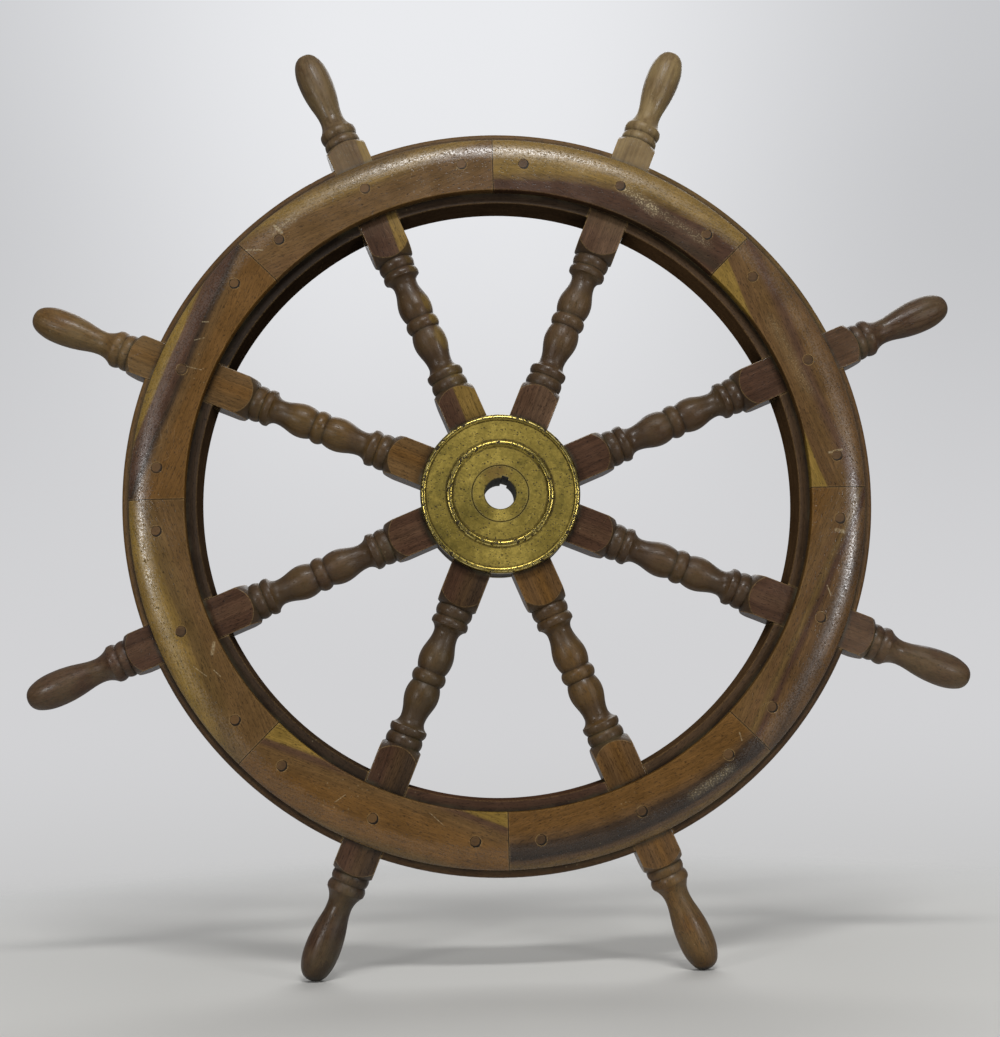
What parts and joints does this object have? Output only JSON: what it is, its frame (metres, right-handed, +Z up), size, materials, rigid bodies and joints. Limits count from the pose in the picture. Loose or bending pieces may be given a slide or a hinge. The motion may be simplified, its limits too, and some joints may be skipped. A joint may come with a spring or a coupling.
{
  "type": "ship steering wheel",
  "caption": "Wooden ship's steering wheel with turned spokes and handles, a layered segmented rim and a keyed brass hub that fits on a helm shaft.",
  "frame": {"origin": "the wheel's centre, on the bore's axis and midway between the front and rear faces", "axes": "+Y along the bore, from the front face towards the shaft behind it; +Z up, midway between two spokes; +X to the right as seen from the front"},
  "size_m": [0.8472, 0.0564, 0.8472],
  "materials": {
    "wood_red_brown": "worn varnish over dense hardwood, satin to glossy",
    "wood_golden": "worn varnish over dense hardwood, satin to glossy",
    "wood_olive": "worn varnish over dense hardwood, satin to glossy",
    "wood_grey_brown": "worn varnish over dense hardwood, satin to glossy",
    "plug_wood": "dark end-grain plug, varnished, with a pale glue line round it",
    "hub_brass": "turned brass, dulled and speckled with dark pits, bright on its worn edges",
    "screw_brass": "dull brass"
  },
  "bodies": {
    "root": {"spoke_1": "wood_red_brown", "spoke_2": "wood_grey_brown", "spoke_3": "wood_golden", "spoke_4": "wood_golden", "spoke_5": "wood_red_brown", "spoke_6": "wood_grey_brown", "spoke_7": "wood_golden", "spoke_8": "wood_red_brown", "front_felloe_1": "wood_red_brown", "front_felloe_2": "wood_olive", "front_felloe_3": "wood_golden", "front_felloe_4": "wood_golden", "front_felloe_5": "wood_olive", "front_felloe_6": "wood_olive", "front_felloe_7": "wood_golden", "front_felloe_8": "wood_olive", "middle_felloe_1": "wood_grey_brown", "middle_felloe_2": "wood_olive", "middle_felloe_3": "wood_grey_brown", "middle_felloe_4": "wood_red_brown", "middle_felloe_5": "wood_grey_brown", "middle_felloe_6": "wood_olive", "middle_felloe_7": "wood_grey_brown", "middle_felloe_8": "wood_red_brown", "rear_felloe_1": "wood_golden", "rear_felloe_2": "wood_olive", "rear_felloe_3": "wood_olive", "rear_felloe_4": "wood_golden", "rear_felloe_5": "wood_olive", "rear_felloe_6": "wood_red_brown", "rear_felloe_7": "wood_olive", "rear_felloe_8": "wood_golden", "hub_chock_1": "wood_grey_brown", "hub_chock_2": "wood_grey_brown", "hub_chock_3": "wood_grey_brown", "hub_chock_4": "wood_grey_brown", "hub_chock_5": "wood_grey_brown", "hub_chock_6": "wood_grey_brown", "hub_chock_7": "wood_grey_brown", "hub_chock_8": "wood_grey_brown", "front_plugs": "plug_wood", "rear_plugs": "plug_wood", "front_rim_screws": "screw_brass", "rear_rim_screws": "screw_brass", "hub_screws": "screw_brass", "hub_front_plate": "hub_brass", "hub_rear_plate": "hub_brass", "hub_sleeve": "hub_brass"}
  },
  "joints": []
}
